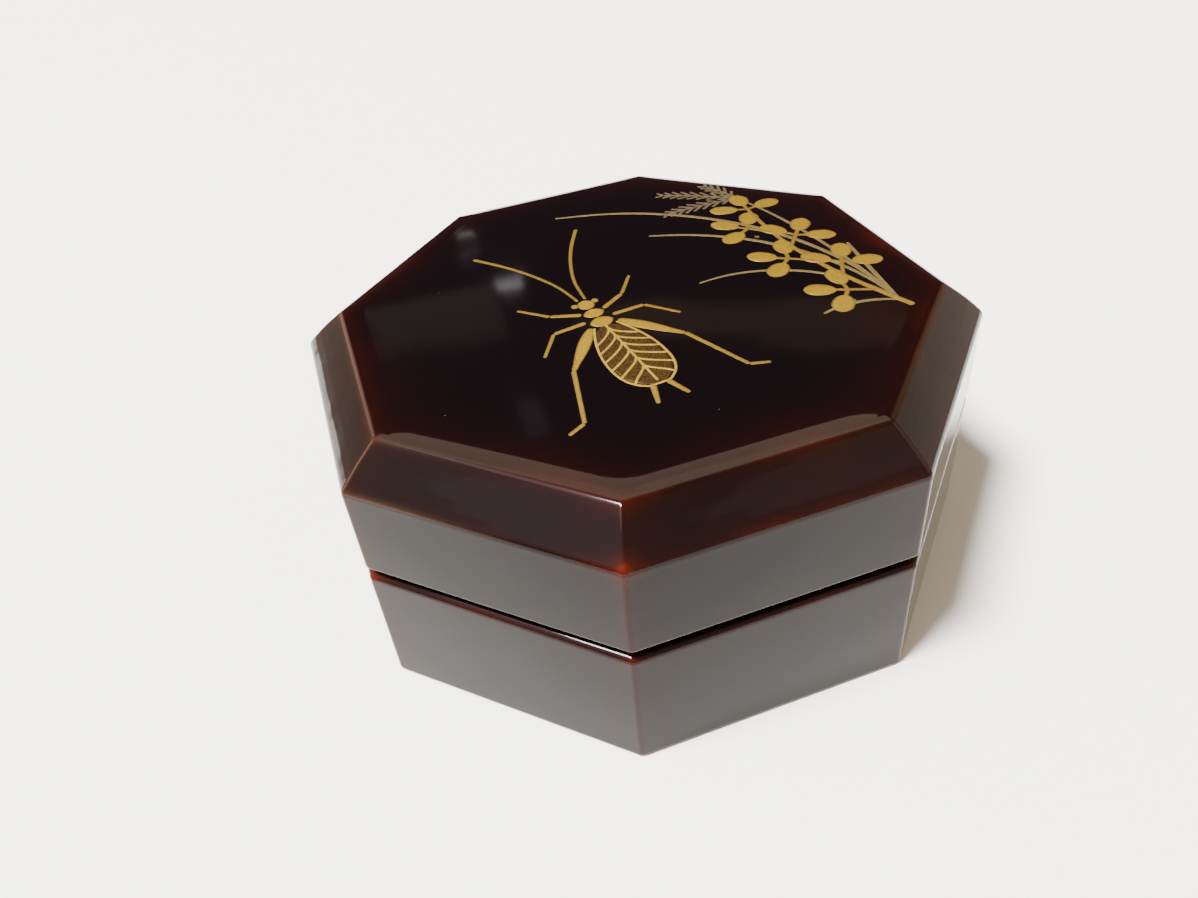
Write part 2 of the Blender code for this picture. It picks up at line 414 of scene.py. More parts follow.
def tame_lacquer():
    """Polished dark lacquer, translucent over red.

    It is near black where thick, and red-brown to orange where rubbing left it thin: at edges
    and corners, most of all at the left and at the front corner of the lid. A light tan line
    along the edges and mitres of the chamfers at the left is a painted highlight. The IOR is that
    of hardened tree lacquer with the mirror toned down, so that walls that face a white floor
    stay dark, and the roughness is that of a hand polish.
    """
    unevenness = 11.0
    hand_wave = 9.0
    rubbing_wave = 4.0
    speck_spacing = 4.0
    worn_reach = 0.8 * MM
    worn_spread = 7.0 * MM
    shoulder_blend = (25.8 * MM, 26.8 * MM)
    plateau_blend = (30.4 * MM, 30.9 * MM)
    rim_blend = (16.4 * MM, 16.0 * MM)
    left_blend = (-20 * MM, -36 * MM)
    right_blend = (14 * MM, 32 * MM)
    edge_wear, edge_wear_by_spot, edge_wear_on_top, edge_wear_on_rim = 0.25, 0.12, 0.14, 0.18
    corner_wear, corner_wear_at_left, corner_wear_on_walls = 0.04, 0.12, 0.36
    top_wear_at_right, chamfer_wear, lid_wear, spot_wear = 0.06, 0.06, 0.08, 0.34
    patchiness, patch_floor = 2.3, -0.15
    speck_rarity, speck_radius = 0.85, 0.02
    line_gain, edge_line_power, corner_line_power, painted_highlight_strength = 1.22, 8, 12, 0.5
    stroke_share, bump_depth = 0.5, 0.06 * MM
    material = bpy.data.materials.new("translucent_dark_lacquer_over_red")
    material.use_nodes = True
    tree = material.node_tree
    shader = tree.nodes["Principled BSDF"]

    where = add(tree, "ShaderNodeTexCoord").outputs["Object"]
    edge = add(tree, "ShaderNodeAttribute", attribute_name="edge_glow").outputs["Fac"]
    corner = add(tree, "ShaderNodeAttribute", attribute_name="corner_glow").outputs["Fac"]
    place = add(tree, "ShaderNodeSeparateXYZ", {0: where}).outputs

    above_walls, on_top, leftmost, rightmost, by_rim = (
        add(tree, "ShaderNodeMapRange",
            {"Value": place[axis], "From Min": start, "From Max": end, "To Max": most},
            interpolation_type="SMOOTHSTEP")
        for axis, (start, end), most in (
            ("Z", shoulder_blend, 1.0), ("Z", plateau_blend, 1.0), ("X", left_blend, 1.0),
            ("X", right_blend, top_wear_at_right), ("Z", rim_blend, edge_wear_on_rim)))
    on_chamfer = add(tree, "SUBTRACT", (above_walls, on_top))
    from_spot = add(tree, "ShaderNodeVectorMath", {0: where, 1: WORN_CORNER},
                    operation="DISTANCE").outputs["Value"]
    spot = add(tree, "EXPONENT", (add(tree, "MULTIPLY", (from_spot, -1 / worn_reach)),))
    near_spot = add(tree, "EXPONENT", (add(tree, "MULTIPLY", (from_spot, -1 / worn_spread)),))
    by_edge = add(tree, "MULTIPLY_ADD", (near_spot, edge_wear_by_spot, edge_wear))
    wear = add(tree, "MULTIPLY", (edge, by_edge))
    wear = add(tree, "MULTIPLY_ADD", (add(tree, "MULTIPLY", (edge, on_top)), edge_wear_on_top, wear))
    around_corner = add(tree, "SQRT", (corner,))
    by_corner = add(tree, "MULTIPLY_ADD", (leftmost, corner_wear_at_left, corner_wear))
    wear = add(tree, "MULTIPLY_ADD", (around_corner, by_corner, wear))
    wear = add(tree, "MULTIPLY_ADD", (on_top, rightmost, wear))
    wear = add(tree, "MULTIPLY_ADD", (on_chamfer, chamfer_wear, wear))
    patches = add(tree, "ShaderNodeTexNoise",
                  {"Vector": where, "Scale": 1 / (unevenness * MM), "Detail": 4.0}).outputs["Fac"]
    wear = add(tree, "MULTIPLY", (wear, add(tree, "MULTIPLY_ADD", (patches, patchiness, patch_floor))))
    wear = add(tree, "MULTIPLY_ADD", (above_walls, lid_wear, wear))
    on_rim = add(tree, "MULTIPLY", (edge, by_rim))
    on_upright = add(tree, "MULTIPLY", (around_corner, corner_wear_on_walls))
    on_walls = add(tree, "MAXIMUM", (on_upright, on_rim))
    below = add(tree, "SUBTRACT", (1, above_walls))
    wear = add(tree, "MULTIPLY_ADD", (below, on_walls, wear))
    thin = add(tree, "MULTIPLY_ADD", (add(tree, "MULTIPLY", (spot, above_walls)), spot_wear, wear))
    ramp = add(tree, "ShaderNodeValToRGB", {"Fac": thin})
    stops = ((0.0, "#040303"), (0.09, "#060304"), (0.28, "#100403"), (0.5, "#230703"),
             (0.75, "#481404"), (1.0, "#a24210"))
    ramp.color_ramp.elements.remove(ramp.color_ramp.elements[1])
    ramp.color_ramp.elements[0].color = linear(stops[0][1])
    for position, colour in stops[1:]:
        ramp.color_ramp.elements.new(position).color = linear(colour)

    speck = add(tree, "ShaderNodeTexVoronoi", {"Vector": where, "Scale": 1 / (speck_spacing * MM)})
    lot = add(tree, "ShaderNodeSeparateColor", {0: speck.outputs["Color"]})
    chosen = add(tree, "GREATER_THAN", (lot, speck_rarity))
    small = add(tree, "LESS_THAN", (speck.outputs["Distance"], speck_radius))
    dust = add(tree, "MULTIPLY", (small, chosen))
    # A painted highlight: a light tan line mixed in along the rubbed edges and mitres of the chamfers, on
    # the left only, the side towards the lamp; the bare mask below holds this painted highlight.
    edge_line = add(tree, "POWER", (add(tree, "MULTIPLY", (edge, line_gain)), edge_line_power),
                    use_clamp=True)
    sharp = add(tree, "MAXIMUM", (edge_line, add(tree, "POWER", (corner, corner_line_power))))
    painted_highlight_at_left = add(tree, "MULTIPLY", (leftmost, painted_highlight_strength))
    bare = add(tree, "MULTIPLY", (add(tree, "MULTIPLY", (sharp, on_chamfer)), painted_highlight_at_left))
    with_painted_highlight = add(tree, "ShaderNodeMix", {0: bare, 6: ramp.outputs["Color"], 7: linear("#5c4434")},
                data_type="RGBA")
    dusty = add(tree, "ShaderNodeMix", {0: dust, 6: with_painted_highlight.outputs[2], 7: linear("#2e2a2a")},
                data_type="RGBA")
    tree.links.new(dusty.outputs[2], shader.inputs["Base Color"])

    waves = add(tree, "ShaderNodeTexNoise",
                {"Vector": where, "Scale": 1 / (hand_wave * MM), "Detail": 0.0}).outputs["Fac"]
    strokes = add(tree, "ShaderNodeTexNoise",
                  {"Vector": where, "Scale": 1 / (rubbing_wave * MM), "Detail": 1.0}).outputs["Fac"]
    rubbed = add(tree, "MULTIPLY", (on_chamfer, strokes))
    height = add(tree, "MULTIPLY_ADD", (rubbed, stroke_share, waves))
    bump = add(tree, "ShaderNodeBump", {"Height": height, "Distance": bump_depth})
    tree.links.new(bump.outputs["Normal"], shader.inputs["Normal"])
    shader.inputs["Roughness"].default_value = 0.07
    shader.inputs["IOR"].default_value = 1.5
    shader.inputs["Specular IOR Level"].default_value = LACQUER_MIRROR
    return material


lacquer = tame_lacquer()
turning = octagonal_turning()

ledge = HALF_WIDTH - LID_WALL - FIT_CLEARANCE
hollow = ledge - TONGUE_WALL
rim_height = box_high.z - TONGUE_RISE + RIM_SWELL
box_outline = round_profile([
    (0.0, box_low.z, 0, 0, 0),
    (HALF_WIDTH, box_low.z, FOOT_RADIUS, CORNER_RADIUS, 0.4),
    (HALF_WIDTH, rim_height - RIM_LIP_DROP, RIM_LIP_RADIUS, CORNER_RADIUS, 0.9),
    (HALF_WIDTH - RIM_LIP_DROP / RIM_LIP_SLOPE, rim_height, RIM_LIP_RADIUS / 2, CORNER_RADIUS, 0),
    (ledge, rim_height, 0, CORNER_RADIUS, 0),
    (ledge, box_high.z, TONGUE_RADIUS, CORNER_RADIUS, 0.8),
    (hollow, box_high.z, TONGUE_RADIUS, CORNER_RADIUS, 0.8),
    (hollow, BOX_FLOOR_THICKNESS, HOLLOW_RADIUS, CORNER_RADIUS, 0),
    (0.0, BOX_FLOOR_THICKNESS, 0, 0, 0)])
box_piece = turned_piece("lower_box", spread_points(*box_outline), turning, lacquer)
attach(box_piece, "root")
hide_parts("box")

# The lid.
# Made like the box: a skirt flush with it, a broad chamfer all round, and a top that is
# crowned a little and rolls down at its rim, rubbed smooth by hand.
CHAMFER_INSET = 4.4 * MM
CHAMFER_RISE = 3.9 * MM
LID_SKIRT_HEIGHT = 10.5 * MM
LID_TOP_THICKNESS = 3.0 * MM
RIM_ROLL_WIDTH = 2.6 * MM
RIM_ROLL_RISE = 0.45 * MM
LID_EDGE_RADIUS = 0.5 * MM
PICTURE_COAT = 0.025 * MM
SHOULDER_RADIUS = 1.1 * MM
PLATEAU_RADIUS = 1.5 * MM
CHAMFER_CORNER_RADIUS = 0.7 * MM
CHAMFER_BULGE = 0.2 * MM
CHAMFER_BULGE_RADIUS = 25 * MM
CROWN_GLOW_REACH = 2.4 * MM
CROWN_CORNER_RADIUS = 9 * MM
CROWN_STEPS = 48
CROWN_EASE = 1.6
CROWN_GLOW = 0.85
SKIRT_FLAT_TO = 4 * MM

shoulder = lid_low.z + LID_SKIRT_HEIGHT
plateau = shoulder + CHAMFER_RISE
plateau_half = HALF_WIDTH - CHAMFER_INSET
crown_rise = lid_high.z - PICTURE_COAT - plateau - RIM_ROLL_RISE


def crown_height(inwards):
    """Rise of the top over the plateau's edge, at a distance inwards from that edge."""
    if inwards < RIM_ROLL_WIDTH:
        return RIM_ROLL_RISE * math.sin(inwards / RIM_ROLL_WIDTH * math.pi / 2)
    share = (inwards - RIM_ROLL_WIDTH) / (plateau_half - RIM_ROLL_WIDTH)
    return RIM_ROLL_RISE + crown_rise * (1 - (1 - share) ** 2)


chamfer_slope = math.atan2(CHAMFER_RISE, CHAMFER_INSET)
slope_start = shoulder - LID_WALL * (1 - math.sin(chamfer_slope)) / math.cos(chamfer_slope)
ceiling_height = plateau - LID_TOP_THICKNESS
slope_inset = (ceiling_height - slope_start) / math.tan(chamfer_slope)
lid_inside = HALF_WIDTH - LID_WALL
crown_start = PLATEAU_RADIUS * math.tan(chamfer_slope / 2) + FINEST_STRIDE
lid_outline = round_profile([
    (0.0, ceiling_height, 0, 0, 0),
    (lid_inside - slope_inset, ceiling_height, HOLLOW_RADIUS, CORNER_RADIUS, 0),
    (lid_inside, slope_start, HOLLOW_RADIUS, CORNER_RADIUS, 0),
    (lid_inside, lid_low.z, LID_EDGE_RADIUS, CORNER_RADIUS, 0.3),
    (HALF_WIDTH, lid_low.z, LID_EDGE_RADIUS, CORNER_RADIUS, 0.3),
    (HALF_WIDTH, shoulder - SKIRT_FLAT_TO, 0, CORNER_RADIUS, 0),
    (HALF_WIDTH, shoulder, SHOULDER_RADIUS, CORNER_RADIUS, 0.8),
    (HALF_WIDTH - CHAMFER_INSET / 2 + CHAMFER_BULGE * math.sin(chamfer_slope),
     shoulder + CHAMFER_RISE / 2 + CHAMFER_BULGE * math.cos(chamfer_slope),
     CHAMFER_BULGE_RADIUS, CHAMFER_CORNER_RADIUS, 0),
    (plateau_half, plateau, PLATEAU_RADIUS, CHAMFER_CORNER_RADIUS, 0.75),
    (plateau_half - crown_start, plateau + crown_height(crown_start), 0, CHAMFER_CORNER_RADIUS, 0)])
lid_points = spread_points(*lid_outline)
softening = CROWN_CORNER_RADIUS - CHAMFER_CORNER_RADIUS
for k in range(1, CROWN_STEPS + 1):
    inwards = crown_start + (plateau_half - crown_start) * (k / CROWN_STEPS) ** CROWN_EASE
    softened = min(1.0, inwards / RIM_ROLL_WIDTH)
    lid_points.append((plateau_half - inwards, plateau + crown_height(inwards),
                       CHAMFER_CORNER_RADIUS + softening * softened,
                       CROWN_GLOW * math.exp(-inwards / CROWN_GLOW_REACH)))
lid_piece = turned_piece("lid_shell", lid_points, turning, lacquer)
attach(lid_piece, "root")
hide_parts("lid")

# The singing insect's wings, in sprinkled gold.
# Raised-picture work: a figure is painted in lacquer with a fine brush, and gold powder is
# sprinkled on it while it is wet. The wings are a thin scatter of powder with solid gold veins.
BRUSH_STEP = 0.1 * MM
LAYER_LIFT = 0.0001 * MM
SUNK = 0.03 * MM
THIN_COAT = 0.002 * MM
FULL_COAT = 0.005 * MM
INSECT_PLACE = Vector((-5.2, -5.5))
INSECT_TILT = math.radians(6)
WING_LENGTH = 12.5
WING_HALF_WIDTH = 3.2
WING_WIDEST = 0.6
WING_ROOT_SHARE = 0.4
BRISTLES = 10
TIP_ROUNDNESS = 1.0025
COAT_RISE = 2.2
FILL_STEPS = 20
EDGE_STEPS = 24
WING_ROOT_CURVE = 1.9
WING_TIP_CURVE = 2.6
WING_TIP_SHARE = 0.985
VEIN_WIDTH = 0.14
VEIN_PAIRS = 6
FIRST_VEIN = 0.06
VEIN_SPACING = 0.13
VEIN_SLANT = 0.2
VEIN_SAG = 1.4


def brush_tree():
    """A tree that turns drawn curves into thin raised strokes with round ends, laid on the lid.

    Each later stroke lies a hair higher than the one before, as painted layers do. A point's
    radius is the brush's half width there.
    """
    tree = bpy.data.node_groups.new("brush_strokes", "GeometryNodeTree")
    for label, kind, value in (
            ("Strokes", "NodeSocketGeometry", None), ("Lid", "NodeSocketObject", None),
            ("Step", "NodeSocketFloat", BRUSH_STEP), ("Coat", "NodeSocketFloat", FULL_COAT),
            ("Layer lift", "NodeSocketFloat", LAYER_LIFT), ("Sunk", "NodeSocketFloat", SUNK),
            ("Powder", "NodeSocketMaterial", None)):
        socket = tree.interface.new_socket(label, in_out="INPUT", socket_type=kind)
        if value is not None:
            socket.default_value = value
    tree.interface.new_socket("Picture", in_out="OUTPUT", socket_type="NodeSocketGeometry")
    given = add(tree, "NodeGroupInput").outputs

    brush_half, lifted = (
        add(tree, "GeometryNodeInputNamedAttribute", {"Name": label}, data_type="FLOAT")
        for label in ("half_width", "lift"))
    lift = add(tree, "MULTIPLY", (add(tree, "GeometryNodeInputIndex"), given["Layer lift"]))
    ordered = add(tree, "GeometryNodeStoreNamedAttribute",
                  {"Geometry": given["Strokes"], "Name": "lift", "Value": lift},
                  data_type="FLOAT", domain="CURVE")
    flowing = add(tree, "GeometryNodeCurveSplineType", {"Curve": ordered}, spline_type="CATMULL_ROM")
    fine = add(tree, "GeometryNodeResampleCurve",
               {"Curve": flowing, "Length": given["Step"]}, mode="LENGTH")
    radius = add(tree, "GeometryNodeInputRadius")
    along = add(tree, "GeometryNodeSplineParameter").outputs["Length"]
    whole = add(tree, "GeometryNodeSplineLength").outputs["Length"]
    to_end = add(tree, "MINIMUM", (along, add(tree, "SUBTRACT", (whole, along))))
    near = add(tree, "SUBTRACT", (1, add(tree, "DIVIDE", (to_end, radius), use_clamp=True)))
    off_round = add(tree, "SUBTRACT", (TIP_ROUNDNESS, add(tree, "MULTIPLY", (near, near))))
    rounded = add(tree, "SQRT", (off_round,))
    half_width = add(tree, "MULTIPLY", (radius, rounded))
    sized = add(tree, "GeometryNodeStoreNamedAttribute",
                {"Geometry": fine, "Name": "half_width", "Value": half_width}, data_type="FLOAT")
    level = add(tree, "GeometryNodeSetCurveNormal", {"Curve": sized}, mode="Z_UP")
    bristles = add(tree, "GeometryNodeCurvePrimitiveCircle", {"Resolution": BRISTLES, "Radius": 1.0})
    swept = add(tree, "GeometryNodeCurveToMesh",
                {"Curve": level, "Profile Curve": bristles.outputs["Curve"],
                 "Scale": brush_half, "Fill Caps": True})
    place = add(tree, "ShaderNodeSeparateXYZ", {"Vector": add(tree, "GeometryNodeInputPosition")}).outputs
    up = add(tree, "DIVIDE", (place["Z"], brush_half))
    level_part = add(tree, "SUBTRACT", (1, add(tree, "MULTIPLY", (up, up))), use_clamp=True)
    inside = add(tree, "SUBTRACT", (1, add(tree, "SQRT", (level_part,))))
    rim = add(tree, "DIVIDE", (add(tree, "MULTIPLY", (inside, brush_half)), MM))
    marked = add(tree, "GeometryNodeStoreNamedAttribute",
                 {"Geometry": swept, "Name": "rim_mm", "Value": rim}, data_type="FLOAT")
    lid = add(tree, "GeometryNodeObjectInfo", {"Object": given["Lid"]}, transform_space="ORIGINAL")
    above = add(tree, "ShaderNodeCombineXYZ", {"X": place["X"], "Y": place["Y"], "Z": 2 * lid_high.z})
    found = add(tree, "GeometryNodeRaycast",
                {"Target Geometry": lid.outputs["Geometry"], "Source Position": above,
                 "Ray Direction": (0, 0, -1), "Ray Length": 2 * lid_high.z})
    surface = add(tree, "ShaderNodeSeparateXYZ", {"Vector": found.outputs["Hit Position"]}).outputs["Z"]
    full = add(tree, "ADD", (given["Coat"], lifted))
    coat = add(tree, "MULTIPLY", (add(tree, "MULTIPLY", (up, COAT_RISE), use_clamp=True), full))
    height = add(tree, "MULTIPLY_ADD", (add(tree, "MINIMUM", (up, 0.0)), given["Sunk"], coat))
    laid = add(tree, "ShaderNodeCombineXYZ",
               {"X": place["X"], "Y": place["Y"], "Z": add(tree, "ADD", (surface, height))})
    draped = add(tree, "GeometryNodeSetPosition", {"Geometry": marked, "Position": laid})
    real = add(tree, "GeometryNodeRealizeInstances", {"Geometry": draped})
    smooth = add(tree, "GeometryNodeSetShadeSmooth", {"Geometry": real})
    dressed = add(tree, "GeometryNodeSetMaterial", {"Geometry": smooth, "Material": given["Powder"]})
    add(tree, "NodeGroupOutput", {"Picture": dressed})
    return tree


def drawn_curves(name, strokes):
    """A curve object of strokes; each stroke is a list of (x, y, half width) in millimetres."""
    data = bpy.data.curves.new(name + "_strokes", "CURVE")
    data.dimensions = "3D"
    for stroke in strokes:
        spline = data.splines.new("POLY")
        spline.points.add(len(stroke) - 1)
        for point, (x, y, half_width) in zip(spline.points, stroke):
            point.co = (x * MM, y * MM, 0, 1)
            point.radius = half_width * MM
    source = bpy.data.objects.new(data.name, data)
    bpy.context.scene.collection.objects.link(source)
    return source


def picture_piece(name, strokes, tree, powder, coat):
    """Lay the strokes on the lid as one piece of the picture."""
    source = drawn_curves(name, strokes)
    piece = made_by(tree, source, name, {"Lid": lid_piece, "Powder": powder, "Coat": coat})
    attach(piece, "root")
    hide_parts("lid")
    return piece


def metal_powder(name, colour, rim_colour, roughness, grain, thin=None):
    """Sprinkled metal powder under a film of lacquer: a matte metal with grains of many tilts.

    Strokes blend into rim_colour within rim_width of their outline. The grains, in millimetres,
    are drawn coarser than real powder, which is too fine to show. Where thin gives the colour
    of the lacquer below, the scatter leaves much of it bare.
    """
    rim_width = (0.04, 0.28)
    tint_spread, darkest_tint = 0.5, 0.75
    bare_from = 0.28
    grain_height = 0.004 * MM
    material = bpy.data.materials.new(name)
    material.use_nodes = True
    tree = material.node_tree
    shader = tree.nodes["Principled BSDF"]

    where = add(tree, "ShaderNodeTexCoord").outputs["Object"]
    grains = add(tree, "ShaderNodeTexVoronoi", {"Vector": where, "Scale": 1 / (grain * MM)})
    tint = add(tree, "ShaderNodeSeparateColor", {0: grains.outputs["Color"]}).outputs
    rim = add(tree, "ShaderNodeAttribute", attribute_name="rim_mm").outputs["Fac"]
    rimmed = add(tree, "ShaderNodeMapRange",
                 {"Value": rim, "From Min": rim_width[0], "From Max": rim_width[1],
                  "To Min": 1.0, "To Max": 0.0})
    flat = add(tree, "ShaderNodeMix",
               {0: rimmed.outputs["Result"], 6: linear(colour), 7: linear(rim_colour)},
               data_type="RGBA")
    shade = add(tree, "MULTIPLY_ADD", (tint["Red"], tint_spread, darkest_tint))
    grained = add(tree, "ShaderNodeMix", {0: 1.0, 6: flat.outputs[2], 7: shade}, data_type="RGBA",
                  blend_type="MULTIPLY")
    result = grained
    if thin:
        bare = add(tree, "GREATER_THAN", (tint["Green"], bare_from))
        shader.inputs["Specular IOR Level"].default_value = LACQUER_MIRROR
        result = add(tree, "ShaderNodeMix", {0: bare, 6: grained.outputs[2], 7: linear(thin)},
                     data_type="RGBA")
        tree.links.new(add(tree, "SUBTRACT", (1, bare)).outputs[0], shader.inputs["Metallic"])
    else:
        shader.inputs["Metallic"].default_value = 1.0
    tree.links.new(result.outputs[2], shader.inputs["Base Color"])
    bump = add(tree, "ShaderNodeBump", {"Height": tint["Blue"], "Distance": grain_height})
    tree.links.new(bump.outputs["Normal"], shader.inputs["Normal"])
    shader.inputs["Roughness"].default_value = roughness
    return material


def on_insect(across, along):
    """A place in the picture, from one on the insect whose head lies along its own +Y."""
    place = Vector((across, along))
    place.rotate(Matrix.Rotation(INSECT_TILT, 2))
    return INSECT_PLACE + place


def wing_point(s, u, half_width=VEIN_WIDTH):
    """A point of the folded wings: s runs from root to tip, u from the left edge, -1, to the right."""
    return (*on_insect(u * wing_half_width(s), -s * WING_LENGTH), half_width)


def wing_half_width(s):
    """Half the width of the folded wings at s."""
    if s < WING_WIDEST:
        narrower = (1 - WING_ROOT_SHARE) * (1 - s / WING_WIDEST) ** WING_ROOT_CURVE
        return WING_HALF_WIDTH * (1 - narrower)
    past = min(1.0, (s - WING_WIDEST) / (1 - WING_WIDEST))
    return WING_HALF_WIDTH * math.sqrt(1 - past ** WING_TIP_CURVE)


brush = brush_tree()
gold = metal_powder("sprinkled_gold_powder", "#977e27", "#6e5d2d", 0.55, 0.12)
vein_gold = metal_powder("bright_sprinkled_gold_powder", "#a28d3c", "#a28d3c", 0.55, 0.12)
thin_gold = metal_powder("thinly_sprinkled_gold_powder", "#5e470c", "#5e470c", 0.5, 0.08, "#1c1005")

thinnest = 0.05
shares = [k / FILL_STEPS for k in range(FILL_STEPS + 1)]
fill = [[wing_point(s, 0, max(thinnest, wing_half_width(s))) for s in shares]]
picture_piece("makie_insect_wing_fill", fill, brush, thin_gold, THIN_COAT)

edge_stops = [k / EDGE_STEPS for k in range(EDGE_STEPS)] + [WING_TIP_SHARE]
outline = [wing_point(s, -1) for s in edge_stops]
outline += [wing_point(s, 1) for s in reversed(edge_stops)]
veins = [outline, [wing_point(s, 0) for s in (0, 0.5, 0.95)]]
for side in (-1, 1):
    for k in range(VEIN_PAIRS):
        start = FIRST_VEIN + VEIN_SPACING * k
        veins.append([wing_point(start + VEIN_SLANT * t, side * t ** VEIN_SAG)
                      for t in (0, 0.25, 0.5, 0.75, 1)])
picture_piece("makie_insect_wing_veins", veins, brush, vein_gold, FULL_COAT)

# The insect's body, legs and feelers, in solid sprinkled gold.
# Each plate of the body and each part of a leg is one touch of the brush, with a hair of dark
# lacquer left bare between the plates.
FEELER_SWEEP = 6.5
FEELER_RISE = 17.0
FEELER_CURL = 1.7
LEG_TAPER = 0.85


def mirrored(strokes):
    """Strokes of (across, along, half width) on the insect's right side, and their mirror images."""
    return [[(*on_insect(side * x, y), w) for x, y, w in stroke]
            for stroke in strokes for side in (1, -1)]


def jointed(joints, widths):
    """A leg: one stroke from each joint to the next, each with its half width."""
    return [[(*a, w), (*b, w * LEG_TAPER)] for a, b, w in zip(joints, joints[1:], widths)]


def plump(a, b, half_width):
    """A thick part of a leg, like a drop that thins to its far end."""
    a, b = Vector(a), Vector(b)
    shares = ((0, 0.45), (0.15, 0.8), (0.35, 1.0), (0.6, 0.85), (0.85, 0.5), (1, 0.38))
    return [(*a.lerp(b, t), half_width * w) for t, w in shares]


insect = [[(*on_insect(0, start), half_width), (*on_insect(0, end), half_width)]
          for start, end, half_width in ((-0.2, 1.8, 1.5), (1.95, 3.75, 1.35), (3.9, 5.9, 1.0))]
insect += mirrored([
    [(1.2, 4.8, 0.42), (1.25, 5.7, 0.42)],
    [(0.45 + FEELER_SWEEP * t ** FEELER_CURL, 6.1 + FEELER_RISE * t, 0.18 + 0.08 * t)
     for t in (0, 0.25, 0.5, 0.75, 1)],
    *jointed([(1.3, 3.2), (4.4, 4.9), (7.0, 8.2)], (0.34, 0.24)),
    *jointed([(1.6, 1.5), (5.4, 1.4), (8.0, -2.2)], (0.34, 0.24)),
    plump((1.6, 0.2), (6.4, -6.0), 0.75),
    *jointed([(6.4, -5.9), (9.0, -14.2), (11.0, -15.0)], (0.28, 0.26)),
    [(0.8, -12.3, 0.36), (1.7, -15.2, 0.24)]])
picture_piece("makie_insect", insect, brush, gold, FULL_COAT)

# The bush clover spray, in solid sprinkled gold.
# A stem that leans in from the right, with sprigs on alternate sides, each of three round leaves.
STEM_START = Vector((25.8, -16.0))
STEM_BEND = Vector((19.5, -3.0))
STEM_END = Vector((20.5, 10.0))
STEM_WIDTH = 0.4
STEM_STEPS = 8
STEM_TAPER = 0.03
SPRIGS = 6
SPRIG_ANGLE = math.radians(45)
STALK_LENGTH = 3.0
STALK_WIDTH = 0.26
LEAF_ANGLE = math.radians(74)
LEAF_LENGTH = 3.6
LEAF_WIDTH = 1.25
LEAF_GAP = 1.2
STALK_INTO_LEAF = 1.5


def leaf(start, outwards):
    """A round leaf that points outwards from its stalk's end."""
    shares = ((0, 0.5), (0.12, 0.7), (0.3, 0.9), (0.5, 1.0), (0.7, 0.97), (0.88, 0.8), (1.0, 0.6))
    return [(*(start + outwards * LEAF_LENGTH * t), LEAF_WIDTH * w) for t, w in shares]


def on_stem(t):
    """The stem's place and its heading, from its root at 0 to its tip at 1."""
    place = STEM_START * (1 - t) ** 2 + STEM_BEND * 2 * t * (1 - t) + STEM_END * t ** 2
    return place, ((STEM_BEND - STEM_START) * (1 - t) + (STEM_END - STEM_BEND) * t).normalized()


clover = [[(*on_stem(k / STEM_STEPS)[0], STEM_WIDTH * (1 - STEM_TAPER * k))
           for k in range(STEM_STEPS + 1)]]
for k in range(1, SPRIGS + 1):
    place, heading = on_stem(k / SPRIGS)
    side = 0 if k == SPRIGS else (-1) ** (k + 1)
    heading.rotate(Matrix.Rotation(side * SPRIG_ANGLE, 2))
    fork = place + heading * STALK_LENGTH
    clover.append([(*place, STALK_WIDTH), (*fork, STALK_WIDTH)])
    for spread in (-1, 0, 1):
        outwards = heading.copy()
        outwards.rotate(Matrix.Rotation(spread * LEAF_ANGLE, 2))
        stalk_end = fork + outwards * STALK_INTO_LEAF * LEAF_GAP
        clover.append([(*fork, STALK_WIDTH), (*stalk_end, STALK_WIDTH)])
        clover.append(leaf(fork + outwards * LEAF_GAP, outwards))
picture_piece("makie_bush_clover", clover, brush, gold, FULL_COAT)

# The grass blades, in the same gold with a lighter hand.
# A fan of long thin strokes from one root, painted first, so the bush clover lies over them.
BLADE_ROOT = Vector((25.0, -14.5))
BLADE_STEPS = 8
BLADE_END_SHARE = 0.6
# Each blade's heading at the root in degrees left of +Y, its droop, length and half width.
BLADES = (
    (10, 90, 24, 0.24),
    (0, 70, 34, 0.3),
    (-4, 80, 50, 0.32),
    (-6, -4, 14, 0.3),
    (60, 50, 9, 0.26))
PLUME_STALK = (-2, 18, 31.5, 0.24)
pale_gold = metal_powder("pale_sprinkled_gold_powder", "#7c6e40", "#766c48", 0.55, 0.12)


def bent_path(root, heading, droop, length):
    """Places along a stroke that leaves its root at a heading left of +Y and bends by the droop."""
    place = root.copy()
    path = [place.copy()]
    for k in range(BLADE_STEPS):
        turn = math.radians(heading + droop * (k + 0.5) / BLADE_STEPS)
        place += Vector((-math.sin(turn), math.cos(turn))) * length / BLADE_STEPS
        path.append(place.copy())
    return path


grass = []
for heading, droop, length, half_width in BLADES + (PLUME_STALK,):
    path = bent_path(BLADE_ROOT, heading, droop, length)
    for k, place in enumerate(path):
        swelling = (1 - BLADE_END_SHARE) * math.sin(math.pi * k / BLADE_STEPS)
        path[k] = (*place, half_width * (BLADE_END_SHARE + swelling))
    grass.append(path)
picture_piece("makie_grass_blades", grass, brush, pale_gold, THIN_COAT)

# The plumes of pampas grass and a few drops of dew, in sprinkled silver.
# Silver powder, gone a little grey-brown with age. Each plume is a spine with short barbs on
# both sides that point to its tip.
PLUMES = ((84, 10.0), (48, 10.0), (12, 6.0))
PLUME_DROOP = 14
SPINE_WIDTH = 0.2
BARB_SPACING = 1.15 * MM
BARB_LENGTH = 2.0 * MM
BARB_WIDTH = 0.2 * MM
BARB_ANGLE = math.radians(36)
PLUME_LEAST = 0.6
PLUME_SWELL = 0.45
# Each drop's blade and its step along that blade.
DEW = ((0, 5), (1, 5), (2, 4), (4, 5))
DEW_OFF_BLADE = Vector((0.9, 0.5))
DEW_RADIUS = 0.32


